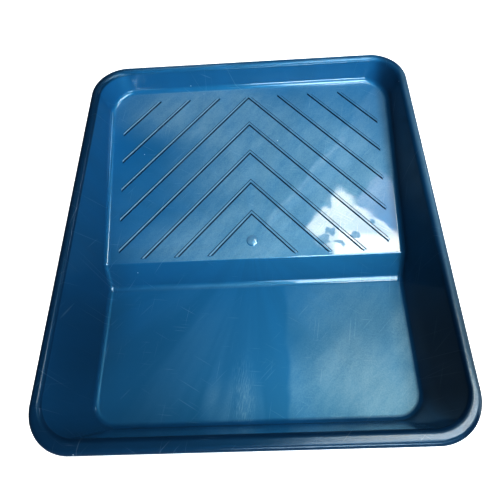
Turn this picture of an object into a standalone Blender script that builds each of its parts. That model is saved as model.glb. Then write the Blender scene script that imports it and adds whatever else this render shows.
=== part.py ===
"""Paint roller tray: one injection-moulded plastic shell.

A deep paint well at the front (-Y) rises over a step onto a shallow ramp that
carries raised chevron ribs for rolling off the paint.  The walls lean outwards
all round and end in a rolled rim.  Two channel legs under the far end of the
ramp are part of the same moulding and keep the tray level.

Metres, +Z up.  The origin is on the ground in the middle of the plan.
"""

import math

import bmesh
import bpy
from mathutils import Matrix, Vector

# Driving dimensions -------------------------------------------------------
TRAY_WIDTH = 0.300            # over the rim, along X
TRAY_LENGTH = 0.348           # over the rim, along Y
TRAY_HEIGHT = 0.066           # ground to the top of the rim
WALL = 0.002                  # thickness of the moulding everywhere
DRAFT = math.radians(13.0)    # lean of the four walls from the vertical

# Rim: a rounded shoulder, a narrow crown and a turned-down skirt.
RIM_WIDTH = 0.0076            # wall line to outer edge, at the sides and back
FRONT_RIM_WIDTH = 0.0096      # the front rim is a little wider
SHOULDER_RADIUS = 0.0042
OUTER_RADIUS = 0.0040
SKIRT_DROP = 0.0055           # top of the rim to the skirt's lower edge
RIM_CORNER = 0.032            # plan radius of the outer edge
WALL_CORNER = 0.027           # plan radius of the hollow's upright corners at the top
FLOOR_CORNER = 0.021          # and at the ground

# Well, step and ramp, along Y.
STEP_BASE_Y = -0.0345         # where the step leaves the well's floor
BROW_Y = -0.0170              # where the step meets the ramp
BROW_RISE = 0.014             # height of the brow over the well's floor
RAMP_SLOPE = 0.154            # rise per unit run, nearly 9 degrees
STEP_BASE_RADIUS = 0.008
BROW_RADIUS = 0.003
FLOOR_FILLET = 0.004          # set-back of the fillet between floor and walls

# Chevron ribs on the ramp: flat-topped bars; distances run up the slope from the brow.
RIB_WIDTH = 0.0021
RIB_HEIGHT = 0.0010
RIB_ROOT = 0.0008             # how far a rib reaches into the wall under it
RIB_ROUNDING = 0.0003         # radius along a rib's upper edges
FIRST_APEX = 0.0435
RIB_PITCH = 0.0311
RIB_LINES = 8                 # lines on each side; the last ones start at the top margin
RIB_RAKE = 1.05               # distance down the slope per unit of distance from the middle
RIB_BROW_MARGIN = 0.0034
RIB_TOP_MARGIN = 0.0080
RIB_SIDE_MARGIN = 0.0079

# Sprue mark: the low dome of a squashed ball that is sunk into the ramp.
GATE_DISTANCE = 0.0165        # up the slope from the brow
GATE_RADIUS = 0.0055
GATE_HALF_HEIGHT = 0.0012
GATE_SINK = 0.0004            # centre of the ball below the ramp's face

# Legs under the far end of the ramp, measured where they join it.
LEG_CENTRE_X = 0.088
LEG_WIDTH = 0.046
LEG_BACK_Y = 0.148
LEG_DEPTH = 0.034
LEG_CORNER = 0.007
LEG_TAPER = 0.90              # size of the foot over size at the ramp

# Smoothness and tolerances
CORNER_STEPS = 8
ARC_STEPS = 5
FILLET_STEPS = 4
ROUNDING_STEPS = 1
GATE_SEGMENTS = 24
LIMIT_STEPS = 4               # rounds of working out where a rib meets the side margin
WELD_DISTANCE = 0.00001
LEVEL_TOLERANCE = 0.0002
FOOT_EDGE_ANGLE = math.radians(50)
SHARP_ANGLE = math.radians(30)

# Derived places ------------------------------------------------------------
FLOOR_Z = WALL
BROW_Z = FLOOR_Z + BROW_RISE
LEAN = math.tan(DRAFT)
RAMP_ANGLE = math.atan(RAMP_SLOPE)
SHOULDER_SETBACK = SHOULDER_RADIUS * math.tan((math.pi / 2 - DRAFT) / 2)
WALL_TOP_Z = TRAY_HEIGHT - SHOULDER_SETBACK * math.cos(DRAFT)
RAMP_UP = Vector((0, math.cos(RAMP_ANGLE), math.sin(RAMP_ANGLE)))
RAMP_NORMAL = Vector((0, -math.sin(RAMP_ANGLE), math.cos(RAMP_ANGLE)))
TO_RIB_SIDE = Vector((RIB_RAKE, 1)).normalized() * RIB_WIDTH / 2
RIB_MITRE = RIB_WIDTH / 2 * math.hypot(RIB_RAKE, 1)

PLASTIC_BLUE = (0.012, 0.115, 0.250, 1.0)
PLASTIC_ROUGHNESS = 0.25


# Helpers --------------------------------------------------------------------
def clear_scene():
    for obj in list(bpy.data.objects):
        bpy.data.objects.remove(obj, do_unlink=True)


def new_collection(name):
    collection = bpy.data.collections.new(name)
    bpy.context.scene.collection.children.link(collection)
    return collection


def mesh_object(name, bm, collection):
    """Turn a bmesh into an object in the collection, and free the bmesh."""
    mesh = bpy.data.meshes.new(name)
    bm.to_mesh(mesh)
    bm.free()
    obj = bpy.data.objects.new(name, mesh)
    collection.objects.link(obj)
    return obj


def hide_as_cutter(obj):
    obj.hide_render = True
    obj.display_type = "WIRE"


def evaluated_bmesh(obj):
    """The object's mesh with its modifiers done, in world space."""
    bpy.context.view_layer.update()
    evaluated = obj.evaluated_get(bpy.context.evaluated_depsgraph_get())
    mesh = bpy.data.meshes.new_from_object(evaluated)
    bm = bmesh.new()
    bm.from_mesh(mesh)
    bm.transform(obj.matrix_world)
    bpy.data.meshes.remove(mesh)
    return bm


def curve_to_mesh(curve_object, collection):
    """Replace a curve object with a closed mesh object of the same name."""
    bm = evaluated_bmesh(curve_object)
    bmesh.ops.remove_doubles(bm, verts=bm.verts, dist=WELD_DISTANCE)
    bmesh.ops.recalc_face_normals(bm, faces=bm.faces)
    name = curve_object.name
    bpy.data.objects.remove(curve_object, do_unlink=True)
    return mesh_object(name, bm, collection)


def extruded_outlines(name, outlines, thickness, collection, rotation=(0, 0, 0), location=(0, 0, 0),
                      rounding=0.0):
    """Closed flat outlines thickened evenly to both sides of their own plane."""
    curve = bpy.data.curves.new(name, "CURVE")
    curve.dimensions = "2D"
    curve.fill_mode = "BOTH"
    curve.extrude = thickness / 2 - rounding
    curve.bevel_depth = rounding
    curve.bevel_resolution = ROUNDING_STEPS
    curve.offset = -rounding
    for points in outlines:
        spline = curve.splines.new("POLY")
        spline.points.add(len(points) - 1)
        for point, (u, v) in zip(spline.points, points):
            point.co = (u, v, 0, 1)
        spline.use_cyclic_u = True
    obj = bpy.data.objects.new(name, curve)
    obj.rotation_euler = rotation
    obj.location = location
    collection.objects.link(obj)
    return curve_to_mesh(obj, collection)


def round_corner(before, corner, after, radius, steps):
    """Points of an arc that replaces a polyline's corner."""
    corner = Vector(corner)
    to_before = (Vector(before) - corner).normalized()
    to_after = (Vector(after) - corner).normalized()
    half_angle = to_before.angle(to_after) / 2
    centre = corner + (to_before + to_after).normalized() * (radius / math.sin(half_angle))
    start = (corner + to_before * (radius / math.tan(half_angle)) - centre).normalized()
    end = (corner + to_after * (radius / math.tan(half_angle)) - centre).normalized()
    return [centre + start.slerp(end, i / steps) * radius for i in range(steps + 1)]


def add_boolean(obj, cutter, operation):
    modifier = obj.modifiers.new(f"{operation.lower()}_{cutter.name}", "BOOLEAN")
    modifier.operation = operation
    modifier.solver = "EXACT"
    modifier.object = cutter


def ramp_point(x, distance, lift=0.0):
    """A point on the ramp's face, a distance up the slope from the brow."""
    return Vector((x, BROW_Y, BROW_Z)) + RAMP_UP * distance + RAMP_NORMAL * lift


def ramp_height(y):
    return BROW_Z + (y - BROW_Y) * RAMP_SLOPE


# Hollow ---------------------------------------------------------------------
def hollow_half_width(z):
    """Half the hollow's width at a height, on the walls' theoretical line."""
    return TRAY_WIDTH / 2 - RIM_WIDTH - (TRAY_HEIGHT - z) * LEAN


def hollow_back_y(z):
    return TRAY_LENGTH / 2 - RIM_WIDTH - (TRAY_HEIGHT - z) * LEAN


def hollow_front_y(z):
    return -TRAY_LENGTH / 2 + FRONT_RIM_WIDTH + (TRAY_HEIGHT - z) * LEAN


def corner_centre(point, z, radius):
    """Plan centre of the hollow's rounded corner that is in the same quarter as the point."""
    end_y = hollow_back_y(z) - radius if point.y > 0 else hollow_front_y(z) + radius
    return Vector((math.copysign(hollow_half_width(z) - radius, point.x), end_y))


def corner_direction(point):
    """Plan direction from the corner's centre to a point on the rounded top outline of the walls."""
    centre = corner_centre(point, WALL_TOP_Z, WALL_CORNER)
    return (Vector((point.x, point.y)) - centre).normalized()


def drafted_block(cutters):
    """The four leaning walls as a block with rounded upright corners, narrower at the bottom."""
    bottom_z = 0.0
    bm = bmesh.new()
    bmesh.ops.create_cube(bm, size=1.0)
    for vert in bm.verts:
        vert.co.x = math.copysign(hollow_half_width(WALL_TOP_Z), vert.co.x)
        vert.co.y = hollow_back_y(WALL_TOP_Z) if vert.co.y > 0 else hollow_front_y(WALL_TOP_Z)
        vert.co.z = WALL_TOP_Z if vert.co.z > 0 else bottom_z
    upright = [edge for edge in bm.edges if abs(edge.verts[0].co.z - edge.verts[1].co.z) > WALL]
    bmesh.ops.bevel(bm, geom=upright, offset=WALL_CORNER, segments=CORNER_STEPS,
                    profile=0.5, affect="EDGES")
    for vert in bm.verts:
        if vert.co.z == bottom_z:
            outwards = corner_direction(vert.co)
            plan = corner_centre(vert.co, bottom_z, FLOOR_CORNER) + outwards * FLOOR_CORNER
            vert.co.x = plan.x
            vert.co.y = plan.y
    return mesh_object("walls_block", bm, cutters)


def floor_prism(cutters):
    """Everything above the well's floor, the step and the ramp, as a prism along X."""
    front = -TRAY_LENGTH / 2
    back = TRAY_LENGTH / 2
    above = TRAY_HEIGHT * 2
    floor_start = (front, FLOOR_Z)
    step_base = (STEP_BASE_Y, FLOOR_Z)
    brow = (BROW_Y, BROW_Z)
    ramp_end = (back, ramp_height(back))
    outline = [floor_start]
    outline += round_corner(floor_start, step_base, brow, STEP_BASE_RADIUS, ARC_STEPS)
    outline += round_corner(step_base, brow, ramp_end, BROW_RADIUS, ARC_STEPS)
    outline += [ramp_end, (back, above), (front, above)]
    quarter = math.pi / 2
    return extruded_outlines("floor_prism", [outline], TRAY_WIDTH, cutters,
                             rotation=(quarter, 0, quarter))


def hollow_surface(cutters):
    """The inside face of the tray as an open surface, up to the start of the rim."""
    block = drafted_block(cutters)
    prism = floor_prism(cutters)
    hide_as_cutter(prism)
    add_boolean(block, prism, "INTERSECT")
    bm = evaluated_bmesh(block)
    hide_as_cutter(block)
    lid_z = WALL_TOP_Z - LEVEL_TOLERANCE
    lid = [face for face in bm.faces if face.calc_center_median().z > lid_z]
    bmesh.ops.delete(bm, geom=lid, context="FACES")
    wall_foot = [edge for edge in bm.edges
                 if len(edge.link_faces) == 2 and edge.calc_face_angle() > FOOT_EDGE_ANGLE]
    bmesh.ops.bevel(bm, geom=wall_foot, offset=FLOOR_FILLET, segments=FILLET_STEPS,
                    profile=0.5, affect="EDGES")
    return bm


# Rim ------------------------------------------------------------------------
def rim_section():
    """Stations over the rim: (distance from the wall line, distance from the outer edge, height).

    Exactly one of the two distances is given; the other is None.
    """
    shoulder_turn = math.pi / 2 - DRAFT
    shoulder_centre = (SHOULDER_SETBACK, TRAY_HEIGHT - SHOULDER_RADIUS)
    stations = []
    for i in range(1, ARC_STEPS + 1):
        angle = shoulder_turn * (1 - i / ARC_STEPS)
        stations.append((shoulder_centre[0] - SHOULDER_RADIUS * math.sin(angle), None,
                         shoulder_centre[1] + SHOULDER_RADIUS * math.cos(angle)))
    for i in range(ARC_STEPS + 1):
        angle = math.pi / 2 * i / ARC_STEPS
        stations.append((None, OUTER_RADIUS * (1 - math.sin(angle)),
                         TRAY_HEIGHT - OUTER_RADIUS * (1 - math.cos(angle))))
    stations.append((None, 0.0, TRAY_HEIGHT - SKIRT_DROP))
    return stations


def rim_foot_points(point):
    """The points of the wall line and of the outer edge that belong to a point at the wall's top."""
    outwards = corner_direction(point)
    line_centre = corner_centre(point, TRAY_HEIGHT, WALL_CORNER)
    edge_centre = Vector((math.copysign(TRAY_WIDTH / 2 - RIM_CORNER, point.x),
                          math.copysign(TRAY_LENGTH / 2 - RIM_CORNER, point.y)))
    return line_centre + outwards * WALL_CORNER, edge_centre + outwards * RIM_CORNER


def add_rim(bm):
    """Extrude the open upper edge of the walls over the rim's section, ring by ring."""
    boundary = [edge for edge in bm.edges if edge.is_boundary]
    ring = {vert: rim_foot_points(vert.co) for edge in boundary for vert in edge.verts}
    for from_wall, from_edge, z in rim_section():
        boundary = [edge for edge in bm.edges if edge.is_boundary]
        old = {tuple(vert.co): feet for vert, feet in ring.items()}
        extruded = bmesh.ops.extrude_edge_only(bm, edges=boundary)
        new_verts = [item for item in extruded["geom"] if isinstance(item, bmesh.types.BMVert)]
        ring = {vert: old[tuple(vert.co)] for vert in new_verts}
        for vert, (wall_line, outer_edge) in ring.items():
            across = (outer_edge - wall_line).normalized()
            if from_edge is None:
                plan = wall_line + across * from_wall
            else:
                plan = outer_edge - across * from_edge
            vert.co = (plan.x, plan.y, z)


# Ribs, sprue mark and legs ---------------------------------------------------
def ramp_side_limit(distance):
    """Largest |x| a rib may reach at a distance up the slope."""
    z = ramp_point(0, distance).z
    return hollow_half_width(z) - FLOOR_FILLET - RIB_SIDE_MARGIN


def rib_arm(apex_distance, top_distance):
    """Upper and lower ends (x, distance) of a right-hand arm, cut to the ramp's margins."""
    start_x = max(0.0, (apex_distance - top_distance) / RIB_RAKE)
    brow_x = (apex_distance - RIB_BROW_MARGIN) / RIB_RAKE
    side_x = ramp_side_limit(RIB_BROW_MARGIN)
    for _ in range(LIMIT_STEPS):
        side_x = ramp_side_limit(apex_distance - RIB_RAKE * side_x)
    end_x = min(brow_x, side_x)
    return (Vector((start_x, apex_distance - RIB_RAKE * start_x)),
            Vector((end_x, apex_distance - RIB_RAKE * end_x)))


def rib_outlines():
    """Each rib's outline in (x, distance): whole chevrons first, then single arms in pairs."""
    slope_length = (hollow_back_y(ramp_height(TRAY_LENGTH / 2)) - FLOOR_FILLET - BROW_Y) / RAMP_UP.y
    top_distance = slope_length - RIB_TOP_MARGIN
    outlines = []
    for line in range(RIB_LINES):
        start, end = rib_arm(FIRST_APEX + RIB_PITCH * line, top_distance)
        is_chevron = start.x == 0.0
        to_side = Vector((0, RIB_MITRE)) if is_chevron else TO_RIB_SIDE
        right = [start + to_side, end + TO_RIB_SIDE, end - TO_RIB_SIDE, start - to_side]
        left = [(-x, distance) for x, distance in reversed(right)]
        if is_chevron:
            outlines.append(right + left[1:-1])
        else:
            outlines += [right, left]
    return outlines


def ribs(cutters):
    """All the ribs, rooted in the ramp, in one object of separate bodies."""
    middle = (RIB_HEIGHT - RIB_ROOT) / 2
    return extruded_outlines("ribs", rib_outlines(), RIB_HEIGHT + RIB_ROOT, cutters,
                             rotation=(RAMP_ANGLE, 0, 0), location=ramp_point(0, 0, middle),
                             rounding=RIB_ROUNDING)


def gate_pad(cutters):
    """A squashed ball sunk into the ramp, so that a low dome stands over its face."""
    bm = bmesh.new()
    bmesh.ops.create_uvsphere(bm, u_segments=GATE_SEGMENTS, v_segments=GATE_SEGMENTS // 2, radius=1.0)
    bm.transform(Matrix.Diagonal((GATE_RADIUS, GATE_RADIUS, GATE_HALF_HEIGHT, 1.0)))
    pad = mesh_object("gate_pad", bm, cutters)
    pad.rotation_euler = (RAMP_ANGLE, 0, 0)
    pad.location = ramp_point(0, GATE_DISTANCE, -GATE_SINK)
    return pad


def channel_path(inset):
    """One face of a leg's channel in plan: down one side, round the back and up the other."""
    half_width = LEG_WIDTH / 2 - inset
    back = LEG_BACK_Y - inset
    front = LEG_BACK_Y - LEG_DEPTH
    ends = [(-half_width, front), (-half_width, back), (half_width, back), (half_width, front)]
    radius = LEG_CORNER - inset
    path = [ends[0]]
    path += round_corner(ends[0], ends[1], ends[2], radius, ARC_STEPS)
    path += round_corner(ends[1], ends[2], ends[3], radius, ARC_STEPS)
    path.append(ends[3])
    return path


def leg(name, centre_x, cutters):
    """A tapered channel open to the front, from the ground up into the ramp's wall."""
    outline = channel_path(0.0) + channel_path(WALL)[::-1]
    height = ramp_height(LEG_BACK_Y)
    obj = extruded_outlines(name, [outline], height, cutters, location=(0, 0, height / 2))
    centre_y = LEG_BACK_Y - LEG_DEPTH / 2
    for vert in obj.data.vertices:
        if vert.co.z > height / 2:
            vert.co.z = ramp_height(vert.co.y) - WALL / 2
        else:
            vert.co.x *= LEG_TAPER
            vert.co.y = centre_y + (vert.co.y - centre_y) * LEG_TAPER
        vert.co.x += centre_x
    return obj


# Tray -----------------------------------------------------------------------
def plastic_material():
    material = bpy.data.materials.new("tray_plastic")
    material.use_nodes = True
    shader = material.node_tree.nodes["Principled BSDF"]
    shader.inputs["Base Color"].default_value = PLASTIC_BLUE
    shader.inputs["Roughness"].default_value = PLASTIC_ROUGHNESS
    shader.inputs["Metallic"].default_value = 0.0
    return material


def tray(parts, cutters):
    surface = hollow_surface(cutters)
    add_rim(surface)
    obj = mesh_object("tray", surface, parts)
    solidify = obj.modifiers.new("wall_thickness", "SOLIDIFY")
    solidify.thickness = WALL
    solidify.offset = 1.0
    solidify.use_even_offset = True
    additions = [
        ribs(cutters),
        gate_pad(cutters),
        leg("leg_left", -LEG_CENTRE_X, cutters),
        leg("leg_right", LEG_CENTRE_X, cutters),
    ]
    for addition in additions:
        hide_as_cutter(addition)
        add_boolean(obj, addition, "UNION")
    obj.data.materials.append(plastic_material())
    obj.data.shade_smooth()
    obj.data.set_sharp_from_angle(angle=SHARP_ANGLE)
    return obj


def main():
    clear_scene()
    parts = new_collection("paint_roller_tray")
    cutters = new_collection("cutters")
    tray(parts, cutters)


main()
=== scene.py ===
import math

import bmesh
import bpy
from mathutils import Matrix, Vector


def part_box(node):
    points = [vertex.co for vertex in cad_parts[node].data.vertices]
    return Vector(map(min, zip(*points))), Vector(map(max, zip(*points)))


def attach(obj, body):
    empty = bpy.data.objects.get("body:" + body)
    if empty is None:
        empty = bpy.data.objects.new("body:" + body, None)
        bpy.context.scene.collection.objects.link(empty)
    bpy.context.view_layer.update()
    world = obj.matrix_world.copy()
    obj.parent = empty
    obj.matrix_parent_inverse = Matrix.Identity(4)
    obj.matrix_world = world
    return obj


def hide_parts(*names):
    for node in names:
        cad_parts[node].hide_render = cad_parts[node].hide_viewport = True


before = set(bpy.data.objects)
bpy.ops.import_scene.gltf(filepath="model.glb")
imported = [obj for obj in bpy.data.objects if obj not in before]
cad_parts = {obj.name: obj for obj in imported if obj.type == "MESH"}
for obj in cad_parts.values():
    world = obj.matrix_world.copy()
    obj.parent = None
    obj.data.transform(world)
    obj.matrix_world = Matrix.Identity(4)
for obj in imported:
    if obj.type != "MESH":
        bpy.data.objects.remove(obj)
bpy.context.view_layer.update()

# Overall size comes from the tray part in model.glb; the rest are the tray's own dimensions, in
# metres -------
TRAY_LOW, TRAY_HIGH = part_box("tray")
WIDTH = TRAY_HIGH.x - TRAY_LOW.x
LENGTH = TRAY_HIGH.y - TRAY_LOW.y
HEIGHT = TRAY_HIGH.z - TRAY_LOW.z
WALL = 0.002                     # thickness of the moulding
DRAFT = math.radians(13.0)       # lean of the walls from the vertical

RIM_WIDTH = 0.0076               # wall line to outer edge, at the sides and back
FRONT_RIM_WIDTH = 0.0096
SHOULDER_RADIUS = 0.0042
OUTER_RADIUS = 0.0040
SKIRT_DROP = 0.0055              # top of the rim to the skirt's lower edge
SKIRT_ROUNDING = 0.0005
SKIRT_EDGE_ANGLE = math.radians(45)  # edges of the skirt bent further than this are rounded
RIM_CORNER = 0.032               # plan radii: outer edge, hollow at the top, hollow at the ground
WALL_CORNER = 0.027
FLOOR_CORNER = 0.021

STEP_BASE_Y = -0.0345            # where the step leaves the well's floor
BROW_Y = -0.0170                 # where the step meets the ramp
BROW_RISE = 0.014
RAMP_SLOPE = 0.154
STEP_BASE_RADIUS = 0.008
BROW_RADIUS = 0.003
FLOOR_FILLET = 0.004             # set-back of the fillet along the foot of the walls

RIB_WIDTH = 0.0021
RIB_HEIGHT = 0.0008
RIB_ROUNDING = 0.0003            # radius along the rib's upper edges
RIB_FOOT = 0.0004                # radius of the fillet at the rib's foot
RIB_FOOT_BITE = RIB_FOOT / 30    # how far the fillet's edge is sunk into the ramp
RIB_ROOT = 0.0008                # how far the rib reaches into the wall under it
RIB_END_FULLNESS = 0.4           # under 1 keeps the rib's rounded ends high to the last
FIRST_APEX = 0.0435
RIB_PITCH = 0.0311
RIB_LINES = 8
RIB_RAKE = 1.05                  # distance down the slope per unit of distance from the middle
RIB_BROW_MARGIN = 0.0034
RIB_TOP_MARGIN = 0.0080
RIB_SIDE_MARGIN = 0.0079
RIB_JOINING_DISTANCE = 0.00001   # closer corners of two arms are one

GATE_DISTANCE = 0.0165           # sprue mark, up the slope from the brow
GATE_RADIUS = 0.0055
GATE_HALF_HEIGHT = 0.0012
GATE_SINK = 0.0004

LEG_CENTRE_X = 0.088
LEG_WIDTH = 0.046
LEG_BACK_Y = 0.148
LEG_DEPTH = 0.034
LEG_CORNER = 0.007
LEG_TAPER = 0.90

CORNER_STEPS = 32
ARC_STEPS = 12
FILLET_STEPS = 10
DOME_STEPS = 8
SKIRT_STEPS = 3
GATE_SEGMENTS = 64
ROOT_FIND_STEPS = 12             # repeats that settle where two slopes meet
SHARP_ANGLE = math.radians(32)   # edges bent further than this stay sharp in the shading
SHADING_WEIGHT = 100             # over 50 lets the large faces set the smooth shading

# Derived places ---------------------------------------------------------------------------
FLOOR_Z = WALL
BROW_Z = FLOOR_Z + BROW_RISE
LEAN = math.tan(DRAFT)
RAMP_ANGLE = math.atan(RAMP_SLOPE)
SHOULDER_SETBACK = SHOULDER_RADIUS * math.tan((math.pi / 2 - DRAFT) / 2)
WALL_TOP_Z = HEIGHT - SHOULDER_SETBACK * math.cos(DRAFT)
RIB_HALF_WIDTH = RIB_WIDTH / 2
RAMP_UP = Vector((0, math.cos(RAMP_ANGLE), math.sin(RAMP_ANGLE)))
RAMP_NORMAL = Vector((0, -math.sin(RAMP_ANGLE), math.cos(RAMP_ANGLE)))


# Small helpers ----------------------------------------------------------------------------
def mesh_object(name, bm):
    mesh = bpy.data.meshes.new(name)
    bm.to_mesh(mesh)
    bm.free()
    obj = bpy.data.objects.new(name, mesh)
    bpy.context.scene.collection.objects.link(obj)
    return obj


def evaluated_bmesh(obj):
    """The object's mesh with its modifiers done."""
    bpy.context.view_layer.update()
    evaluated = obj.evaluated_get(bpy.context.evaluated_depsgraph_get())
    mesh = bpy.data.meshes.new_from_object(evaluated)
    bm = bmesh.new()
    bm.from_mesh(mesh)
    bpy.data.meshes.remove(mesh)
    return bm


def round_corner(before, corner, after, radius, steps):
    """Points of an arc that replaces a polyline's corner."""
    corner = Vector(corner)
    to_before = (Vector(before) - corner).normalized()
    to_after = (Vector(after) - corner).normalized()
    half_angle = to_before.angle(to_after) / 2
    centre = corner + (to_before + to_after).normalized() * (radius / math.sin(half_angle))
    start = (corner + to_before * (radius / math.tan(half_angle)) - centre).normalized()
    end = (corner + to_after * (radius / math.tan(half_angle)) - centre).normalized()
    return [centre + start.slerp(end, i / steps) * radius for i in range(steps + 1)]


def bridge(bm, ring_a, ring_b):
    for (a, b), (c, d) in zip(zip(ring_a, ring_a[1:]), zip(ring_b, ring_b[1:])):
        bm.faces.new((a, c, d, b))


def ramp_point(x, distance, lift=0.0):
    """A point on the ramp's face, a distance up the slope from the brow."""
    return Vector((x, BROW_Y, BROW_Z)) + RAMP_UP * distance + RAMP_NORMAL * lift


def ramp_height(y):
    return BROW_Z + (y - BROW_Y) * RAMP_SLOPE


# Hollow and rim ---------------------------------------------------------------------------
def hollow_half_width(z):
    return WIDTH / 2 - RIM_WIDTH - (HEIGHT - z) * LEAN


def hollow_back_y(z):
    return LENGTH / 2 - RIM_WIDTH - (HEIGHT - z) * LEAN


def hollow_front_y(z):
    return -LENGTH / 2 + FRONT_RIM_WIDTH + (HEIGHT - z) * LEAN


def floor_profile():
    """Points (y, z) along the well's floor, up the step and along the ramp."""
    front = (-LENGTH / 2, FLOOR_Z)
    step_base = (STEP_BASE_Y, FLOOR_Z)
    brow = (BROW_Y, BROW_Z)
    ramp_end = (LENGTH / 2, ramp_height(LENGTH / 2))
    points = [Vector(front)]
    points += round_corner(front, step_base, brow, STEP_BASE_RADIUS, ARC_STEPS)
    points += round_corner(step_base, brow, ramp_end, BROW_RADIUS, ARC_STEPS)
    points.append(Vector(ramp_end))
    return points


PROFILE = floor_profile()


def profile_height(y):
    for low, high in zip(PROFILE, PROFILE[1:]):
        if y <= high.x:
            return low.y + (high.y - low.y) * (y - low.x) / (high.x - low.x)
    return PROFILE[-1].y


class OutlineStation:
    """A place round the right-hand half of the tray's outline, at a corner or along the side."""

    def __init__(self, end, turn, y):
        self.end = end
        self.outwards = Vector((math.cos(turn), math.sin(turn)))
        self.y = y

    def wall(self, z):
        """Plan point of the inside wall at a height."""
        if self.end == 0:
            return Vector((hollow_half_width(z), self.y))
        share = min(z / WALL_TOP_Z, 1.0)
        radius = FLOOR_CORNER + (WALL_CORNER - FLOOR_CORNER) * share
        centre_y = hollow_back_y(z) - radius if self.end > 0 else hollow_front_y(z) + radius
        return Vector((hollow_half_width(z) - radius, centre_y)) + self.outwards * radius

    def edge(self):
        """Plan point of the rim's outer edge."""
        if self.end == 0:
            return Vector((WIDTH / 2, self.y))
        centre = Vector((WIDTH / 2 - RIM_CORNER, self.end * (LENGTH / 2 - RIM_CORNER)))
        return centre + self.outwards * RIM_CORNER

    def lean(self):
        across = self.wall(WALL_TOP_Z) - self.wall(0.0)
        return across.dot(self.outwards) / WALL_TOP_Z


def half_outline():
    """Stations from the middle of the front, round the right-hand side, to the middle of the back."""
    quarter = math.pi / 2
    turns = [quarter * i / CORNER_STEPS for i in range(CORNER_STEPS + 1)]
    front = [OutlineStation(-1, turn - quarter, None) for turn in turns]
    side = [OutlineStation(0, 0.0, point.x) for point in PROFILE[1:-1]]
    back = [OutlineStation(1, turn, None) for turn in turns]
    return front + side + back


def foot_points(station):
    """The fillet between the floor and the wall, from the floor up."""
    foot_z = FLOOR_Z
    for _ in range(ROOT_FIND_STEPS):
        foot_z = profile_height(station.wall(foot_z).y)
    inner_y = station.wall(foot_z).y - station.outwards.y * FLOOR_FILLET
    fall = (profile_height(inner_y) - foot_z) / FLOOR_FILLET if station.end else 0.0
    wall_line = Vector((-station.lean(), 1))
    floor_line = Vector((1, fall))
    radius = FLOOR_FILLET * math.tan(wall_line.angle(floor_line) / 2)
    arc = round_corner(wall_line, (0, 0), floor_line, radius, FILLET_STEPS)
    points = []
    for inwards, rise in reversed(arc):
        inside = inwards + station.lean() * rise
        plan = station.wall(foot_z + rise) - station.outwards * inside
        points.append((plan.x, plan.y, foot_z + rise))
    return points


def rim_points(station):
    """From the top of the wall over the rounded rim and down its skirt."""
    wall_line = station.wall(HEIGHT)
    outer_edge = station.edge()
    across = (outer_edge - wall_line).normalized()
    points = []
    for i in range(ARC_STEPS + 1):
        angle = (math.pi / 2 - DRAFT) * (1 - i / ARC_STEPS)
        plan = wall_line + across * (SHOULDER_SETBACK - SHOULDER_RADIUS * math.sin(angle))
        points.append((plan.x, plan.y, HEIGHT - SHOULDER_RADIUS * (1 - math.cos(angle))))
    for i in range(ARC_STEPS + 1):
        angle = math.pi / 2 * i / ARC_STEPS
        plan = outer_edge - across * OUTER_RADIUS * (1 - math.sin(angle))
        points.append((plan.x, plan.y, HEIGHT - OUTER_RADIUS * (1 - math.cos(angle))))
    points.append((outer_edge.x, outer_edge.y, HEIGHT - SKIRT_DROP))
    return points


def visible_surface():
    """The inside of the hollow, the rim and the outside of the skirt, as one open surface."""
    bm = bmesh.new()
    columns = [foot_points(station) + rim_points(station) for station in half_outline()]
    right = [[bm.verts.new(point) for point in column] for column in columns]
    left = [[bm.verts.new((-x, y, z)) for x, y, z in column] for column in columns]
    around = right + left[::-1]
    for ring, next_ring in zip(around, around[1:] + around[:1]):
        bridge(bm, ring, next_ring)
    for i in range(len(columns) - 1):
        bm.faces.new((left[i][0], left[i + 1][0], right[i + 1][0], right[i][0]))
    return bm


def shell():
    """The surface thickened downwards to the wall's thickness, its skirt's edges just rounded."""
    obj = mesh_object("tray_shell", visible_surface())
    solidify = obj.modifiers.new("wall_thickness", "SOLIDIFY")
    solidify.thickness = WALL
    solidify.offset = 1.0
    solidify.use_even_offset = True
    bm = evaluated_bmesh(obj)
    obj.modifiers.clear()
    skirt_z = HEIGHT - SKIRT_DROP
    on_skirt = {vert for vert in bm.verts if abs(vert.co.z - skirt_z) < SKIRT_ROUNDING / 10}
    edges = [edge for edge in bm.edges
             if on_skirt.issuperset(edge.verts) and edge.calc_face_angle() > SKIRT_EDGE_ANGLE]
    bmesh.ops.bevel(bm, geom=edges, offset=SKIRT_ROUNDING, segments=SKIRT_STEPS, profile=0.5,
                    affect="EDGES")
    bm.to_mesh(obj.data)
    bm.free()
    return obj


# Ribs -------------------------------------------------------------------------------------
def ramp_side_limit(distance):
    z = ramp_point(0, distance).z
    return hollow_half_width(z) - FLOOR_FILLET - RIB_SIDE_MARGIN


def rib_arm(apex_distance, top_distance):
    """Upper and lower ends (x, distance) of one arm, cut to the ramp's margins; x is positive."""
    start_x = max(0.0, (apex_distance - top_distance) / RIB_RAKE)
    start = (start_x, apex_distance - RIB_RAKE * start_x)
    brow_x = (apex_distance - RIB_BROW_MARGIN) / RIB_RAKE
    side_x = ramp_side_limit(RIB_BROW_MARGIN)
    for _ in range(ROOT_FIND_STEPS):
        side_x = ramp_side_limit(apex_distance - RIB_RAKE * side_x)
    end_x = min(brow_x, side_x)
    return start, (end_x, apex_distance - RIB_RAKE * end_x)


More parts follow.
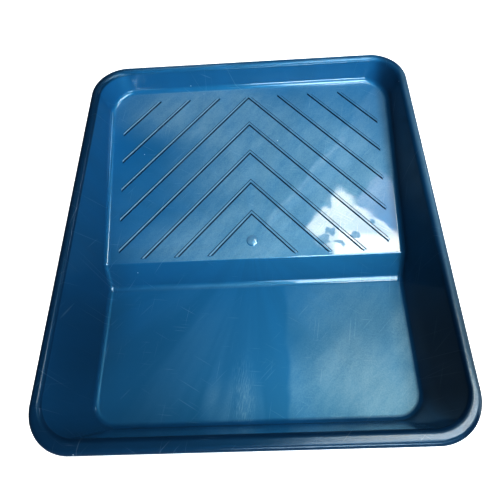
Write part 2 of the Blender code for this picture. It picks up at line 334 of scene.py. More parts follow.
def rib_section():
    """Half of a rib's section as (across, height): up the root, over the foot fillet to the crown."""
    points = [(RIB_HALF_WIDTH + RIB_FOOT, -RIB_ROOT)]
    for i in range(DOME_STEPS + 1):
        angle = math.pi / 2 * i / DOME_STEPS
        points.append((RIB_HALF_WIDTH + RIB_FOOT * (1 - math.sin(angle)),
                       RIB_FOOT * (1 - math.cos(angle)) - RIB_FOOT_BITE))
    for i in range(DOME_STEPS + 1):
        angle = math.pi / 2 * i / DOME_STEPS
        points.append((RIB_HALF_WIDTH - RIB_ROUNDING * (1 - math.cos(angle)),
                       RIB_HEIGHT - RIB_ROUNDING * (1 - math.sin(angle))))
    points.append((0.0, RIB_HEIGHT))
    return points


def rib_rings(start, end, mitred):
    """Section frames along an arm: (distance along it, share of full size, on the middle plane)."""
    length = math.hypot(end[0] - start[0], end[1] - start[1])
    turns = [math.pi / 2 * (i + 0.5) / DOME_STEPS for i in range(DOME_STEPS)]
    rounded = [(RIB_HALF_WIDTH * (1 - math.cos(turn)), math.sin(turn)) for turn in turns]
    rounded.append((RIB_HALF_WIDTH, 1.0))
    rings = [(0.0, 1.0, True)] if mitred else [(along, share, False) for along, share in rounded]
    rings += [(length - along, share, False) for along, share in reversed(rounded)]
    return rings


def add_arm(bm, start, end, side, mitred):
    """One arm of a rib; side is +1 or -1.  A mitred arm starts in the middle plane."""
    run = Vector((end[0] - start[0], end[1] - start[1])).normalized()
    across = Vector((-run.y, run.x))
    half = rib_section()
    outline = half + [(-u, v) for u, v in half[-2::-1]]
    rings = []
    for along, share, on_middle in rib_rings(start, end, mitred):
        ring = []
        for u, v in outline:
            height = v * share ** RIB_END_FULLNESS if v > 0 else v
            place = Vector(start) + run * along + across * u * share
            if on_middle:
                place += run * (u * across.x / -run.x)
            ring.append(bm.verts.new(ramp_point(side * place.x, place.y, height)))
        rings.append(ring)
    for ring, next_ring in zip(rings, rings[1:]):
        bridge(bm, ring + ring[:1], next_ring + next_ring[:1])
    bm.faces.new(rings[-1])
    if not mitred:
        bm.faces.new(rings[0])


def ribs():
    """All the ribs, standing on the ramp and rooted in it."""
    slope_length = (hollow_back_y(ramp_height(LENGTH / 2)) - FLOOR_FILLET - BROW_Y) / RAMP_UP.y
    top_distance = slope_length - RIB_TOP_MARGIN
    bm = bmesh.new()
    for line in range(RIB_LINES):
        start, end = rib_arm(FIRST_APEX + RIB_PITCH * line, top_distance)
        for side in (-1, 1):
            add_arm(bm, start, end, side, start[0] == 0.0)
    bmesh.ops.remove_doubles(bm, verts=bm.verts, dist=RIB_JOINING_DISTANCE)
    bmesh.ops.recalc_face_normals(bm, faces=bm.faces)
    return mesh_object("ribs", bm)


# Sprue mark and legs ------------------------------------------------------------------------
def gate_pad():
    """A squashed ball sunk into the ramp, so that a low dome stands over its face."""
    bm = bmesh.new()
    bmesh.ops.create_uvsphere(bm, u_segments=GATE_SEGMENTS, v_segments=GATE_SEGMENTS // 2,
                              radius=1.0)
    bm.transform(Matrix.Translation(ramp_point(0, GATE_DISTANCE, -GATE_SINK))
                 @ Matrix.Rotation(RAMP_ANGLE, 4, "X")
                 @ Matrix.Diagonal((GATE_RADIUS, GATE_RADIUS, GATE_HALF_HEIGHT, 1.0)))
    return mesh_object("gate_pad", bm)


def channel_path(inset):
    """One face of a leg's channel in plan: down one side, round the back and up the other."""
    half_width = LEG_WIDTH / 2 - inset
    back = LEG_BACK_Y - inset
    front = LEG_BACK_Y - LEG_DEPTH
    ends = [(-half_width, front), (-half_width, back), (half_width, back), (half_width, front)]
    radius = LEG_CORNER - inset
    path = [Vector(ends[0])]
    path += round_corner(ends[0], ends[1], ends[2], radius, ARC_STEPS)
    path += round_corner(ends[1], ends[2], ends[3], radius, ARC_STEPS)
    path.append(Vector(ends[3]))
    return path


def leg(name, centre_x):
    """A tapered channel open to the front, from the ground up into the ramp's wall."""
    bm = bmesh.new()
    centre_y = LEG_BACK_Y - LEG_DEPTH / 2

    def ring_at(path, taper, on_ground):
        verts = []
        for x, y in path:
            y = centre_y + (y - centre_y) * taper
            z = 0.0 if on_ground else ramp_height(y) - WALL / 2
            verts.append(bm.verts.new((centre_x + x * taper, y, z)))
        return verts

    outer = channel_path(0.0)
    inner = channel_path(WALL)
    outer_foot = ring_at(outer, LEG_TAPER, True)
    outer_top = ring_at(outer, 1.0, False)
    inner_foot = ring_at(inner, LEG_TAPER, True)
    inner_top = ring_at(inner, 1.0, False)
    bridge(bm, outer_foot, outer_top)
    bridge(bm, outer_top, inner_top)
    bridge(bm, inner_top, inner_foot)
    bridge(bm, inner_foot, outer_foot)
    for end in (0, -1):
        bm.faces.new((outer_foot[end], outer_top[end], inner_top[end], inner_foot[end]))
    bmesh.ops.recalc_face_normals(bm, faces=bm.faces)
    return mesh_object(name, bm)


# Material -----------------------------------------------------------------------------------
DEEP_BLUE = (0.011, 0.116, 0.245, 1)
FRESH_BLUE = (0.012, 0.132, 0.285, 1)
# The next colour is painted shade, laid where the tray should be in shadow.
PAINTED_SHADE_BLUE = (0.002, 0.010, 0.030, 1)
# The next colour is the chalky film, and also the painted highlights and the painted floor
# reflection.
PALE_FILM_AND_SHEEN = (0.45, 0.57, 0.60, 1)
SCRATCH = (0.62, 0.70, 0.76, 1)
DUST = (0.80, 0.84, 0.86, 1)
SPECULAR_TINT = (0.25, 0.80, 1.0, 1)

# Marked areas in plan, as (x, y, half-width, half-length, strength).
RAMP_HAZE = [
    (-0.055, 0.140, 0.070, 0.035, 1.0),
    (-0.010, 0.075, 0.060, 0.070, 0.75),
    (0.050, 0.080, 0.070, 0.080, 0.50),
    (0.090, 0.125, 0.050, 0.060, 0.35),
    (-0.015, -0.005, 0.080, 0.030, 1.0),
    (0.080, 0.060, 0.050, 0.040, 0.95),
    (-0.090, 0.020, 0.050, 0.060, 0.15),
]
# Areas of a painted reflection on the well's floor, on its right-hand part.
FLOOR_REFLECTION_AREAS = [
    (0.085, -0.060, 0.055, 0.040, 0.65),
    (0.080, -0.125, 0.080, 0.035, 0.9),
    (0.115, -0.140, 0.030, 0.022, 1.0),
    (0.128, -0.085, 0.016, 0.022, 1.0),
]
SMEARS = [
    (-0.105, -0.125, 0.035, 0.035, 0.20),
    (-0.014, -0.133, 0.026, 0.018, 0.60),
    (-0.045, -0.090, 0.045, 0.050, 0.14),
]
# Areas of painted shade: the well's front left, its front right and the left-hand wall.
PAINTED_SHADE_AREAS = [
    (-0.130, -0.145, 0.110, 0.110, 0.36),
    (0.110, -0.105, 0.070, 0.060, 0.42),
    (-0.140, -0.040, 0.030, 0.090, 0.25),
]
DULL_SPOTS = [
    (0.069, 0.0055, 0.0045, 0.0030, 1.0),
    (0.063, -0.0020, 0.0060, 0.0045, 1.0),
    (0.091, 0.0010, 0.0050, 0.0035, 1.0),
    (0.066, 0.0300, 0.0060, 0.0030, 1.0),
    (0.107, 0.0120, 0.0030, 0.0030, 1.0),
    (0.077, -0.0060, 0.0030, 0.0025, 1.0),
]
SMUDGE = (-0.010, -0.128, 0.009, 0.028)   # a finely streaked mark, as above but for its strength

# Fades as (value where it is 0, value where it is 1), for Graph.smooth_range.
PATCH_FADE = (1.5, 0.3)                   # in half sizes of a marked area
STEP_FADE = (STEP_BASE_Y - 0.0030, STEP_BASE_Y - 0.0040)
FLOOR_FADE = (FLOOR_Z + 0.0008, FLOOR_Z + 0.0002)
RIM_FADE = (HEIGHT - SHOULDER_RADIUS, HEIGHT - SHOULDER_RADIUS / 2)
# Where the painted highlight along the rim's right-hand edge begins.
RIM_EDGE_FADE = (WIDTH / 2 - 0.007, WIDTH / 2 - 0.004)
FACING_UP_FADE = (0.88, 0.97)             # in the normal's z
LEFT_HALF_FADE = (0.01, -0.01)
# The next four place the painted shade on the rim and on the right-hand wall.
FRONT_RIM_FADE = (-0.10, -0.16)
LEFT_RIM_FADE = (-0.10, -0.15)
RIGHT_WALL_FADE = (0.121, 0.134)
NEARER_FADE = (0.02, -0.11)
REFLECTION_EDGE_FADE = (0.030, 0.035)               # the painted floor reflection stops sharply here
DULL_FADE = (0.35, 0.45)                  # in the strength of the dull spots
RAY_FADE = (0.40, 0.60)                   # this and the next four: in the value of a noise
CLOUD_FADE = (0.30, 0.70)
FILM_GRAIN_FADE = (0.25, 0.75)
FINE_LINE_FADE = (0.42, 0.70)
HAIR_FADE = (0.76, 0.86)
CHOSEN_SPECK_FADE = (0.80, 0.82)          # in the random shade of a speck's cell
SPECK_FADE = (0.045, 0.025)               # from a speck's middle, in cells

CROWN_FADE = (RIB_HALF_WIDTH - 0.0002, RIB_HALF_WIDTH - 0.0006)    # from a rib's middle line
FOOT_INNER_FADE = (RIB_HALF_WIDTH - 0.0003, RIB_HALF_WIDTH)
FOOT_OUTER_FADE = (RIB_HALF_WIDTH + 0.0009, RIB_HALF_WIDTH + 0.0005)
FIRST_LINE_FADE = (-0.5, -0.4)                                     # in rib pitches
LAST_LINE_FADE = (RIB_LINES - 0.5, RIB_LINES - 0.6)

# Noises as (scale, detail, roughness), the scale in waves per metre of the place they are given.
CLOUD_NOISE = (1.0, 9, 0.72)
FILM_GRAIN_NOISE = (900, 2, 0.7)
WAVER_NOISE = (30, 3, 0.5)
WOBBLE_NOISE = (160, 3, 0.5)
FINE_LINE_NOISE = (1.0, 3, 0.5)
HAIR_NOISE = (1.0, 0, 0.5)
RAY_NOISE = (1.3, 2, 0.5)
WAVE_NOISE = (22, 2, 0.5)
GRAIN_NOISE = (1500, 1, 0.5)

# Places are turned (in radians) and stretched before some of the noises, to draw them out.
CLOUD_ANGLE = 0.7
CLOUD_STRETCH = (75, 28, 0)
SMUDGE_ANGLE = 0.15
SMUDGE_STRETCH = (1500, 150, 0)
SCRATCH_STRETCHES = [                     # turn, stretch along the scratches, stretch across them
    (0.55, 26, 1100),
    (-0.80, 34, 1200),
    (1.75, 24, 1000),
    (0.10, 45, 1300),
]
RAY_SPREAD = (3.5, 3.5, 0)                # how fast the rays change round the sprue mark
RAY_DRIFT = (3, 3, 0)                     # and with the distance from it

# The unevenness of the film and of the painted floor reflection, and in metres the wavering of edges.
FILM_BASE = 0.38
FILM_CLOUD = 0.36
FILM_GRAIN = 0.30
SMUDGE_STRENGTH = 0.45
REFLECTION_EDGE_WAVER = 0.012
EDGE_WOBBLE = (0.012, 0.012, 0)
SPECK_CELLS = 70                          # per metre

# How much of each mark's colour covers the plastic; painted shade and painted highlights are among
# them.
RAY_COVER = 0.4
FILM_AND_SHEEN_COVER = 0.31
SCRATCH_COVER = 0.07
DUST_COVER = 0.5
# Painted shade: contact shade along the ribs' feet, and shade on the rim and on the right-hand wall.
FOOT_CONTACT_SHADE = 0.80
RIM_SHADE_BASE = 0.15
FRONT_RIM_SHADE_EXTRA = 0.62                     # more painted shade, on the front and left-hand rim
RIGHT_WALL_SHADE_BASE = 0.50
NEAR_WALL_SHADE_EXTRA = 0.36                   # more painted shade, on the near part of the right-hand wall
FOOT_FILM_LOSS = 0.8                       # share of the film taken away at a rib's foot, under its painted contact shade
# Painted highlights: on the ribs' crowns and along the rim's right-hand edge.
CROWN_HIGHLIGHT = 0.25
LEFT_HALF_HIGHLIGHT = 1.0                     # stronger painted highlight, on the left half
RIM_EDGE_HIGHLIGHT = 0.4

# The glossy skin, what takes gloss away from it, and what blurs it.
GLOSS = 0.9
FLOOR_GLOSS_LOSS = 0.81
RIM_GLOSS_LOSS = 0.35
DULL_SPOT_GLOSS_LOSS = 0.6
FOOT_GLOSS_LOSS = 0.75
GLOSS_BLUR = 0.022
FILM_BLUR = 0.02
RIM_BLUR = 0.04
FLOOR_BLUR = 0.07

# The plastic under the skin, and the relief of its surface.
BODY_ROUGHNESS = 0.5
BODY_SPECULAR = 0.8
# Where shade is painted, this share of the mirroring is taken away as well.
SHADE_SPECULAR_LOSS = 0.7
WAVE_HEIGHT = 0.7
GRAIN_HEIGHT = 0.08
SMOOTH_GRAIN_LOSS = 0.07                  # where the surface faces up
RIM_GRAIN_GAIN = 0.16
BUMP_STRENGTH = 0.6
FOOT_BUMP_LOSS = 0.5
BUMP_DISTANCE = 0.0006


class Graph:
    """Short ways of adding nodes to a material or a world."""

    def __init__(self, owner):
        owner.use_nodes = True
        self.nodes = owner.node_tree.nodes
        self.links = owner.node_tree.links

    def node(self, kind, inputs, **settings):
        made = self.nodes.new(kind)
        for name, value in settings.items():
            setattr(made, name, value)
        for key, value in inputs.items():
            if isinstance(value, bpy.types.NodeSocket):
                self.links.new(value, made.inputs[key])
            else:
                made.inputs[key].default_value = value
        return made

    def maths(self, operation, first, second=0.0):
        return self.node("ShaderNodeMath", {0: first, 1: second}, operation=operation).outputs[0]

    def plus(self, first, second):
        return self.maths("ADD", first, second)

    def minus(self, first, second):
        return self.maths("SUBTRACT", first, second)

    def times(self, first, second):
        return self.maths("MULTIPLY", first, second)

    def larger(self, first, second):
        return self.maths("MAXIMUM", first, second)

    def absolute(self, value):
        return self.maths("ABSOLUTE", value)

    def vector_maths(self, operation, first, second):
        made = self.node("ShaderNodeVectorMath", {0: first, 1: second}, operation=operation)
        return made.outputs[0]

    def smooth_range(self, value, low, high):
        made = self.node("ShaderNodeMapRange", {"Value": value, "From Min": low, "From Max": high},
                         interpolation_type="SMOOTHSTEP")
        return made.outputs[0]

    def noise(self, place, kind, output="Fac"):
        scale, detail, roughness = kind
        made = self.node("ShaderNodeTexNoise", {"Vector": place, "Scale": scale, "Detail": detail,
                                                "Roughness": roughness})
        return made.outputs[output]

    def mix(self, share, low, high):
        made = self.node("ShaderNodeMix", {0: share, 6: low, 7: high}, data_type="RGBA")
        return made.outputs[2]

    def turned(self, place, angle, scale):
        """The place turned about Z and then stretched."""
        made = self.node("ShaderNodeMapping", {"Vector": place, "Rotation": (0, 0, angle)})
        return self.vector_maths("MULTIPLY", made.outputs[0], scale)


class Spot:
    """The shaded point: its place on the tray, and how far it belongs to each part of it (0 to 1)."""

    def __init__(self, graph):
        self.place = graph.node("ShaderNodeTexCoord", {}).outputs["Object"]
        axes = graph.node("ShaderNodeSeparateXYZ", {"Vector": self.place})
        self.x, self.y, self.z = axes.outputs["X"], axes.outputs["Y"], axes.outputs["Z"]
        self.before_step = graph.smooth_range(self.y, *STEP_FADE)
        self.on_floor = graph.times(self.before_step, graph.smooth_range(self.z, *FLOOR_FADE))
        self.on_rim = graph.smooth_range(self.z, *RIM_FADE)
        normal = graph.node("ShaderNodeNewGeometry", {}).outputs["Normal"]
        normal_z = graph.node("ShaderNodeSeparateXYZ", {"Vector": normal}).outputs["Z"]
        self.facing_up = graph.smooth_range(normal_z, *FACING_UP_FADE)
        self.rays = flow_streaks(graph, self.place)
        self.feet, self.crowns = rib_masks(graph, self)


def patch(graph, place, x, y, half_width, half_length):
    """1 in the middle of an oval area, falling softly to 0 outside it."""
    offset = graph.vector_maths("SUBTRACT", place, (x, y, 0))
    scaled = graph.vector_maths("MULTIPLY", offset, (1 / half_width, 1 / half_length, 0))
    reach = graph.node("ShaderNodeVectorMath", {0: scaled}, operation="LENGTH").outputs["Value"]
    return graph.smooth_range(reach, *PATCH_FADE)


def patches(graph, place, areas):
    total = 0.0
    for x, y, half_width, half_length, strength in areas:
        one = patch(graph, place, x, y, half_width, half_length)
        total = graph.plus(total, graph.times(one, strength))
    return graph.maths("MINIMUM", total, 1.0)


def flow_streaks(graph, place):
    """Faint rays of the melt's flow, fanning out from the sprue mark."""
    gate = ramp_point(0, GATE_DISTANCE)
    offset = graph.vector_maths("SUBTRACT", place, tuple(gate))
    flat = graph.vector_maths("MULTIPLY", offset, (1, 1, 0))
    direction = graph.node("ShaderNodeVectorMath", {0: flat}, operation="NORMALIZE").outputs[0]
    spread = graph.vector_maths("MULTIPLY", direction, RAY_SPREAD)
    drift = graph.vector_maths("MULTIPLY", flat, RAY_DRIFT)
    ray = graph.vector_maths("ADD", spread, drift)
    return graph.smooth_range(graph.noise(ray, RAY_NOISE), *RAY_FADE)


def ribbed_area(graph, spot, up_slope, lines):
    """1 where the ribs stand, falling to 0 at the ramp's bare margins."""
    half_width = graph.plus(graph.times(spot.z, LEAN), hollow_half_width(0.0))
    back_y = graph.plus(graph.times(spot.z, LEAN), hollow_back_y(0.0))
    margins = (
        (graph.minus(half_width, graph.absolute(spot.x)), FLOOR_FILLET + RIB_SIDE_MARGIN),
        (graph.minus(back_y, spot.y), FLOOR_FILLET + RIB_TOP_MARGIN),
        (up_slope, RIB_BROW_MARGIN),
    )
    area = graph.times(graph.smooth_range(lines, *FIRST_LINE_FADE),
                       graph.smooth_range(lines, *LAST_LINE_FADE))
    for distance, margin in margins:
        area = graph.times(area, graph.smooth_range(distance, margin, margin + RIB_HALF_WIDTH))
    return area


def rib_masks(graph, spot):
    """Strips along the feet and the crown of each rib, from the distance to its middle line."""
    up_slope = graph.maths("DIVIDE", graph.minus(spot.y, BROW_Y), RAMP_UP.y)
    raked = graph.plus(up_slope, graph.times(graph.absolute(spot.x), RIB_RAKE))
    lines = graph.maths("DIVIDE", graph.minus(raked, FIRST_APEX), RIB_PITCH)
    off_line = graph.absolute(graph.minus(lines, graph.maths("ROUND", lines)))
    off_line = graph.times(off_line, RIB_PITCH / math.hypot(1, RIB_RAKE))
    foot = graph.times(graph.smooth_range(off_line, *FOOT_INNER_FADE),
                       graph.smooth_range(off_line, *FOOT_OUTER_FADE))
    crown = graph.smooth_range(off_line, *CROWN_FADE)
    area = ribbed_area(graph, spot, up_slope, lines)
    return graph.times(foot, area), graph.times(crown, area)


def film_texture(graph, place):
    """The unevenness of the film and of the painted floor reflection: slanting clouds and a fine
    grain over a steady part.
    """
    streaked = graph.turned(place, CLOUD_ANGLE, CLOUD_STRETCH)
    cloud = graph.smooth_range(graph.noise(streaked, CLOUD_NOISE), *CLOUD_FADE)
    grain = graph.smooth_range(graph.noise(place, FILM_GRAIN_NOISE), *FILM_GRAIN_FADE)
    texture = graph.plus(graph.times(cloud, FILM_CLOUD), graph.times(grain, FILM_GRAIN))
    return graph.plus(texture, FILM_BASE)


def haze_and_floor_reflection(graph, spot):
    """Chalky film left by use, soft and cloudy on the ramp, with smears and a smudge on the floor;
    and a painted reflection with a sharp left edge on the floor's right-hand part.
    """
    place = spot.place
    on_ramp = graph.minus(1.0, spot.before_step)
    ramp_film = graph.times(patches(graph, place, RAMP_HAZE), on_ramp)
    wavering = graph.plus(spot.x, graph.times(graph.noise(place, WAVER_NOISE), REFLECTION_EDGE_WAVER))
    reflection_edge = graph.smooth_range(wavering, *REFLECTION_EDGE_FADE)
    floor_reflection_and_smears = graph.times(patches(graph, place, FLOOR_REFLECTION_AREAS), reflection_edge)
    smears = graph.times(patches(graph, place, SMEARS), spot.rays)
    floor_reflection_and_smears = graph.times(graph.plus(floor_reflection_and_smears, smears), spot.before_step)
    film_and_sheen = graph.times(graph.plus(ramp_film, floor_reflection_and_smears), film_texture(graph, place))
    fine_lines = graph.noise(graph.turned(place, SMUDGE_ANGLE, SMUDGE_STRETCH), FINE_LINE_NOISE)
    fine_lines = graph.smooth_range(fine_lines, *FINE_LINE_FADE)
    smudge = graph.times(patch(graph, place, *SMUDGE), fine_lines)
    return graph.plus(film_and_sheen, graph.times(smudge, SMUDGE_STRENGTH))


def film_and_highlights(graph, spot):
    """Where the pale colour shows: the film with the painted floor reflection, painted highlights on
    the ribs' crowns, and a painted highlight along the rim's right-hand edge.
    """
    film_and_sheen = graph.times(haze_and_floor_reflection(graph, spot), spot.facing_up)
    film_and_sheen = graph.times(film_and_sheen, graph.minus(1.0, graph.times(spot.feet, FOOT_FILM_LOSS)))
    left_half = graph.smooth_range(spot.x, *LEFT_HALF_FADE)
    crown_sheen = graph.plus(graph.times(left_half, LEFT_HALF_HIGHLIGHT), CROWN_HIGHLIGHT)
    film_and_sheen = graph.larger(film_and_sheen, graph.times(spot.crowns, crown_sheen))
    rim_edge = graph.times(spot.on_rim, graph.smooth_range(spot.x, *RIM_EDGE_FADE))
    return graph.larger(film_and_sheen, graph.times(rim_edge, RIM_EDGE_HIGHLIGHT))


def shaded_places(graph, spot):
    """Painted shade: in the well's front and on its left-hand wall, on the right-hand wall, on the
    rim, and as contact shade along the ribs' feet.
    """
    shaded_areas = patches(graph, spot.place, PAINTED_SHADE_AREAS)
    nearer = graph.times(graph.smooth_range(spot.y, *NEARER_FADE), NEAR_WALL_SHADE_EXTRA)
    wall_shade = graph.plus(RIGHT_WALL_SHADE_BASE, nearer)
    right_wall = graph.times(graph.smooth_range(spot.x, *RIGHT_WALL_FADE), wall_shade)
    shaded_rim = graph.larger(graph.smooth_range(spot.y, *FRONT_RIM_FADE),
                             graph.smooth_range(spot.x, *LEFT_RIM_FADE))
    rim_shade = graph.plus(graph.times(shaded_rim, FRONT_RIM_SHADE_EXTRA), RIM_SHADE_BASE)
    painted_shade = graph.larger(shaded_areas, right_wall)
    painted_shade = graph.larger(painted_shade, graph.times(spot.on_rim, rim_shade))
    return graph.larger(painted_shade, graph.times(spot.feet, FOOT_CONTACT_SHADE))


def wobbled(graph, place):
    """The place shifted a little by noise, so that what is drawn with it has uneven edges."""
    noise = graph.noise(place, WOBBLE_NOISE, "Color")
    centred = graph.vector_maths("SUBTRACT", noise, (0.5, 0.5, 0.5))
    shift = graph.vector_maths("MULTIPLY", centred, EDGE_WOBBLE)
    return graph.vector_maths("ADD", place, shift)


def scratches(graph, place):
    """Short straight hairlines at a few angles, drawn as stretched noise."""
    total = 0.0
    for angle, along, across in SCRATCH_STRETCHES:
        hairs = graph.noise(graph.turned(place, angle, (along, across, 0)), HAIR_NOISE)
        total = graph.plus(total, graph.smooth_range(hairs, *HAIR_FADE))
    return total


def dust(graph, place):
    """A few white specks: small dots in some of the cells of a grid of scattered points."""
    cells = graph.node("ShaderNodeTexVoronoi", {"Vector": place, "Scale": SPECK_CELLS})
    shade = graph.node("ShaderNodeSeparateColor", {0: cells.outputs["Color"]}).outputs[0]
    chosen = graph.smooth_range(shade, *CHOSEN_SPECK_FADE)
    dot = graph.smooth_range(cells.outputs["Distance"], *SPECK_FADE)
    return graph.times(chosen, dot)


def plastic_colour(graph, spot, film_and_sheen, painted_shade):
    """The blue, with flow marks, and over it the painted shade, the film with the painted highlights
    and floor reflection, the scratches and the dust.
    """
    colour = graph.mix(graph.times(spot.rays, RAY_COVER), DEEP_BLUE, FRESH_BLUE)
    colour = graph.mix(painted_shade, colour, PAINTED_SHADE_BLUE)
    colour = graph.mix(graph.times(film_and_sheen, FILM_AND_SHEEN_COVER), colour, PALE_FILM_AND_SHEEN)
    colour = graph.mix(graph.times(scratches(graph, spot.place), SCRATCH_COVER), colour, SCRATCH)
    return graph.mix(graph.times(dust(graph, spot.place), DUST_COVER), colour, DUST)


def gloss(graph, spot):
    """How much of the glossy skin is left."""
    dull_spots = patches(graph, wobbled(graph, spot.place), DULL_SPOTS)
    losses = (
        (spot.on_floor, FLOOR_GLOSS_LOSS),
        (spot.on_rim, RIM_GLOSS_LOSS),
        (graph.smooth_range(dull_spots, *DULL_FADE), DULL_SPOT_GLOSS_LOSS),
        (spot.feet, FOOT_GLOSS_LOSS),
    )
    left = GLOSS
    for mask, loss in losses:
        left = graph.minus(left, graph.times(mask, loss))
    return graph.larger(left, 0.0)


def gloss_blur(graph, spot, film_and_sheen):
    """How far the glossy skin blurs what it mirrors."""
    blur = GLOSS_BLUR
    for mask, gain in ((film_and_sheen, FILM_BLUR), (spot.on_rim, RIM_BLUR), (spot.on_floor, FLOOR_BLUR)):
        blur = graph.plus(blur, graph.times(mask, gain))
    return blur


def body_specular(graph, spot, painted_shade):
    """The mirroring of the plastic under its skin, less where shade is painted off the floor."""
    shade_off_floor = graph.times(painted_shade, graph.minus(1.0, spot.on_floor))
    return graph.minus(BODY_SPECULAR, graph.times(shade_off_floor, SHADE_SPECULAR_LOSS))


def relief(graph, spot):
    """A bump of slow waves, with a fine grain that is strongest on the walls and the rim."""
    waves = graph.times(graph.noise(spot.place, WAVE_NOISE), WAVE_HEIGHT)
    grain_height = graph.minus(GRAIN_HEIGHT, graph.times(spot.facing_up, SMOOTH_GRAIN_LOSS))
    grain_height = graph.plus(grain_height, graph.times(spot.on_rim, RIM_GRAIN_GAIN))
    grain = graph.times(graph.noise(spot.place, GRAIN_NOISE), grain_height)
    strength = graph.minus(BUMP_STRENGTH, graph.times(spot.feet, FOOT_BUMP_LOSS))
    bump = graph.node("ShaderNodeBump", {"Height": graph.plus(waves, grain), "Strength": strength,
                                         "Distance": BUMP_DISTANCE})
    return bump.outputs[0]


def plastic():
    """Glossy blue moulding, used: hazed, finely scratched and dusty, with painted shade, painted
    highlights and a painted floor reflection in its colour.
    """
    material = bpy.data.materials.new("tray_plastic")
    graph = Graph(material)
    spot = Spot(graph)
    film_and_sheen = film_and_highlights(graph, spot)
    painted_shade = shaded_places(graph, spot)
    bumped = relief(graph, spot)
    driven = {
        "Base Color": plastic_colour(graph, spot, film_and_sheen, painted_shade),
        "Specular IOR Level": body_specular(graph, spot, painted_shade),
        "Coat Weight": gloss(graph, spot),
        "Coat Roughness": gloss_blur(graph, spot, film_and_sheen),
        "Normal": bumped,
        "Coat Normal": bumped,
    }
    shader = graph.nodes["Principled BSDF"]
    for name, value in driven.items():
        graph.links.new(value, shader.inputs[name])
    shader.inputs["Roughness"].default_value = BODY_ROUGHNESS
    shader.inputs["Specular Tint"].default_value = SPECULAR_TINT
    return material


def unite(obj, additions):
    """Join the additions to the object and keep the result as its own mesh."""
    for addition in additions:
        modifier = obj.modifiers.new(addition.name, "BOOLEAN")
        modifier.operation = "UNION"
        modifier.solver = "EXACT"
        modifier.object = addition
    finished = evaluated_bmesh(obj)
    obj.modifiers.clear()
    finished.to_mesh(obj.data)
    finished.free()
    for addition in additions:
        bpy.data.objects.remove(addition, do_unlink=True)


def build_tray():
    obj = shell()
    unite(obj, [ribs(), gate_pad(), leg("leg_left", -LEG_CENTRE_X), leg("leg_right", LEG_CENTRE_X)])
    obj.data.shade_smooth()
    obj.data.set_sharp_from_angle(angle=SHARP_ANGLE)
    weighted = obj.modifiers.new("even_shading", "WEIGHTED_NORMAL")
    weighted.keep_sharp = True
    weighted.weight = SHADING_WEIGHT
    obj.data.materials.append(plastic())
    return obj


tray = build_tray()
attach(tray, "root")
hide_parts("tray")


# Stage, lights and camera ---------------------------------------------------------------------
FLOOR_SIZE = 8
FLOOR_ROUGHNESS = 0.9
FLOOR_SHADE = (0.9, 0.9, 0.9, 1)
MIRRORED_FLOOR_SHADE = (0.12, 0.12, 0.12, 1)     # what the glossy tray mirrors of the floor
FLOOR_LIFT = 0.35                                # keeps the floor pale beside the tray
WHITE = (1, 1, 1, 1)
BACKGROUND_SEEN = 0.7                            # the background, to the camera only
BACKGROUND_LIGHT = 0.005                         # and the little light it gives

WARM = (1.0, 0.82, 0.62)
LILAC = (1.0, 0.80, 0.88)
TRAY_MIDDLE = (0, 0, 0)
MIRROR_MIDDLE = (0.085, 0.02, 0.02)              # where the window is mirrored in the ramp

LENS = 36.15                                     # millimetres
LENS_SHIFT = (-0.0128, -0.0707)
CAMERA_PLACE = (0.0219, -0.2078, 0.4107)
CAMERA_HEADING = math.radians(4.36)
CAMERA_DOWN = math.radians(59.15)                # below the horizontal
CAMERA_ROLL = math.radians(-6.35)
VIEW_GAMMA = 0.66                                # deepens the shadows


def pale_floor():
    bpy.ops.mesh.primitive_plane_add(size=FLOOR_SIZE)
    floor = bpy.context.object
    floor.name = "floor"
    material = bpy.data.materials.new("floor")
    graph = Graph(material)
    shader = graph.nodes["Principled BSDF"]
    shader.inputs["Roughness"].default_value = FLOOR_ROUGHNESS
    rays = graph.node("ShaderNodeLightPath", {})
    colour = graph.mix(rays.outputs["Is Glossy Ray"], FLOOR_SHADE, MIRRORED_FLOOR_SHADE)
    graph.links.new(colour, shader.inputs["Base Color"])
    shader.inputs["Emission Color"].default_value = WHITE
    lift = graph.times(rays.outputs["Is Camera Ray"], FLOOR_LIFT)
    graph.links.new(lift, shader.inputs["Emission Strength"])
    floor.data.materials.append(material)


def soft_light(name, watts, size_x, size_y, place, target, turn=0.0, colour=(1, 1, 1)):
    """An area light aimed at a target; its x side lies in plan along the turn, in degrees."""
    data = bpy.data.lights.new(name, "AREA")
    data.energy = watts
    data.color = colour
    data.shape = "RECTANGLE"
    data.size = size_x
    data.size_y = size_y
    light = bpy.data.objects.new(name, data)
    light.location = place
    back = (Vector(place) - Vector(target)).normalized()
    side = Vector((math.cos(math.radians(turn)), math.sin(math.radians(turn)), 0))
    up = back.cross(side).normalized()
    light.rotation_euler = Matrix((up.cross(back), up, back)).transposed().to_euler()
    light.visible_camera = False
    bpy.context.scene.collection.objects.link(light)


def background():
    world = bpy.data.worlds.new("studio")
    bpy.context.scene.world = world
    graph = Graph(world)
    shader = graph.nodes["Background"]
    shader.inputs["Color"].default_value = WHITE
    seen = graph.node("ShaderNodeLightPath", {}).outputs["Is Camera Ray"]
    strength = graph.plus(graph.times(seen, BACKGROUND_SEEN), BACKGROUND_LIGHT)
    graph.links.new(strength, shader.inputs["Strength"])


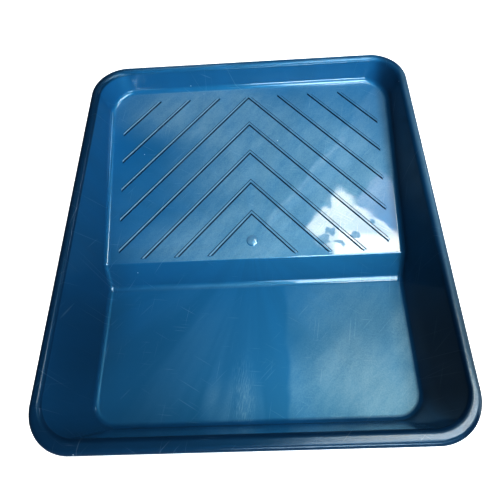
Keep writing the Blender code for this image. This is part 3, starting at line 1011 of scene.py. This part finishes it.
def room_lights():
    """Soft light from above, the front and the right, for the well, the walls and the rim."""
    soft_light("key", 10, 0.34, 0.60, (0.24, -0.34, 1.1), (0.24, -0.34, 0))
    soft_light("key_side", 7.5, 0.27, 0.43, (0.52, -0.16, 1.1), TRAY_MIDDLE)
    soft_light("high_front", 14, 0.8, 0.6, (0.35, -1.30, 1.9), TRAY_MIDDLE)
    soft_light("front_low", 24, 0.8, 0.3, (0.3, -2.2, 0.35), TRAY_MIDDLE)
    soft_light("front_middle", 10, 0.8, 0.3, (0.3, -2.2, 0.80), TRAY_MIDDLE)
    soft_light("front_right", 8, 0.8, 0.5, (1.2, -1.8, 1.0), TRAY_MIDDLE)
    soft_light("right_side", 9, 0.6, 0.5, (2.1, 1.5, 1.35), TRAY_MIDDLE)


def mirrored_lights():
    """What the ramp mirrors: a window in four parts, and a pale ceiling."""
    soft_light("window", 17, 0.74, 0.42, (0.64, 0.60, 3.40), MIRROR_MIDDLE, -44, WARM)
    soft_light("window_low", 4.5, 0.46, 0.40, (0.68, 0.42, 3.39), MIRROR_MIDDLE, -10, WARM)
    soft_light("window_side", 3.3, 0.60, 0.34, (0.97, 0.80, 3.42), MIRROR_MIDDLE, -44, LILAC)
    soft_light("window_bar", 0.22, 0.90, 0.03, (0.263, 1.06, 3.40), MIRROR_MIDDLE, 48)
    soft_light("ceiling_glow", 7, 1.1, 1.8, (0.72, 0.80, 3.50), MIRROR_MIDDLE, -42)


def camera():
    data = bpy.data.cameras.new("camera")
    data.lens = LENS
    data.shift_x, data.shift_y = LENS_SHIFT
    obj = bpy.data.objects.new("camera", data)
    obj.location = CAMERA_PLACE
    turn = (Matrix.Rotation(CAMERA_HEADING, 3, "Z")
            @ Matrix.Rotation(math.pi / 2 - CAMERA_DOWN, 3, "X")
            @ Matrix.Rotation(CAMERA_ROLL, 3, "Z"))
    obj.rotation_euler = turn.to_euler()
    bpy.context.scene.collection.objects.link(obj)
    bpy.context.scene.camera = obj


pale_floor()
background()
room_lights()
mirrored_lights()
camera()
bpy.context.scene.view_settings.view_transform = "Standard"
bpy.context.scene.view_settings.gamma = VIEW_GAMMA
